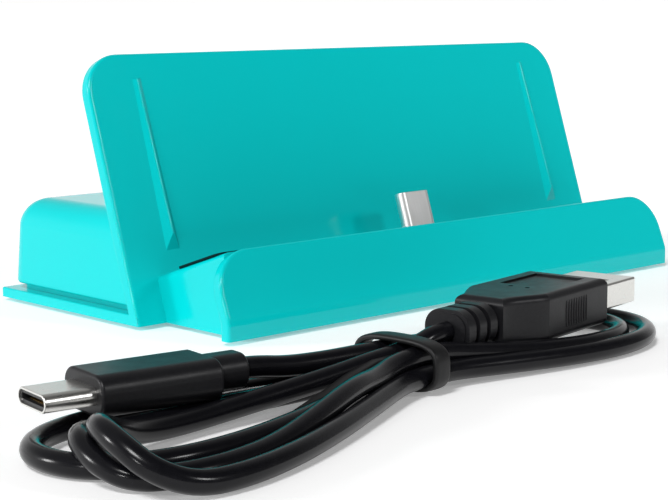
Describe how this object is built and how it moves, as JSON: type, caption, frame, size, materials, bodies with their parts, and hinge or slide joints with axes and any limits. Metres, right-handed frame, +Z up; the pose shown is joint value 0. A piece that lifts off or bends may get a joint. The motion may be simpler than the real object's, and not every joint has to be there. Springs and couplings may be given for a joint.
{
  "type": "game console charging dock",
  "caption": "Leaning charging dock for a handheld game console, with a rocking plug in its channel and a loose charging cable tied in a hank.",
  "frame": {"origin": "middle of the dock's own footprint, without the loose cable, on the surface that it stands on", "axes": "+X along the dock, +Y from the lip to the rear housing, +Z up"},
  "size_m": [0.1964, 0.1337, 0.049],
  "materials": {
    "turquoise_plastic": "gloss",
    "cover_plastic": "satin",
    "screw_steel": "satin",
    "foot_rubber": "matte",
    "pad_rubber": "matte",
    "circuit_board": "satin",
    "chip_resin": "matte",
    "ferrite": "matte",
    "can_aluminium": "satin",
    "plug_steel": "polished",
    "black_insulator": "satin",
    "header_nylon": "satin",
    "wire_sheath": "satin",
    "pin_steel": "polished",
    "spring_steel": "satin",
    "gold_contacts": "polished",
    "black_overmould": "gloss",
    "cord_jacket": "gloss",
    "tie_nylon": "satin"
  },
  "bodies": {
    "dock": {"cradle": "turquoise_plastic", "rear_housing": "turquoise_plastic", "bottom_cover": "cover_plastic", "cover_screws": "screw_steel", "rubber_feet": "foot_rubber", "channel_pad": "pad_rubber", "main_board": "circuit_board", "board_screws": "screw_steel", "power_chips": "chip_resin", "power_inductor": "ferrite", "filter_capacitors": "can_aluminium", "inlet_shell": "plug_steel", "inlet_tongue": "black_insulator", "wire_header": "header_nylon", "link_wires": "wire_sheath", "pivot_pin": "pin_steel", "centring_springs": "spring_steel"},
    "console_plug": {"plug_rocker": "black_insulator", "plug_board": "circuit_board", "plug_shell": "plug_steel", "plug_insert": "black_insulator", "plug_contacts": "gold_contacts"},
    "cable": {"cord_hank": "cord_jacket", "cable_tie": "tie_nylon", "small_plug_shell": "plug_steel", "small_plug_insert": "black_insulator", "small_plug_contacts": "gold_contacts", "small_plug_overmould": "black_overmould", "small_plug_relief": "black_overmould", "large_plug_shell": "plug_steel", "large_plug_tongue": "black_insulator", "large_plug_contacts": "gold_contacts", "large_plug_overmould": "black_overmould", "large_plug_relief": "black_overmould"}
  },
  "joints": [
    {"name": "plug_rock", "type": "hinge", "parent": "dock", "child": "console_plug", "pos_m": [0, -0.02003, 0.00713], "axis": [1, 0, 0], "range_deg": [-4, 4], "stiffness_Nm_per_rad": 0.2},
    {"name": "cable_lift", "type": "slide", "parent": "dock", "child": "cable", "axis": [0, 0, 1], "range_m": [0, 0.06]}
  ]
}
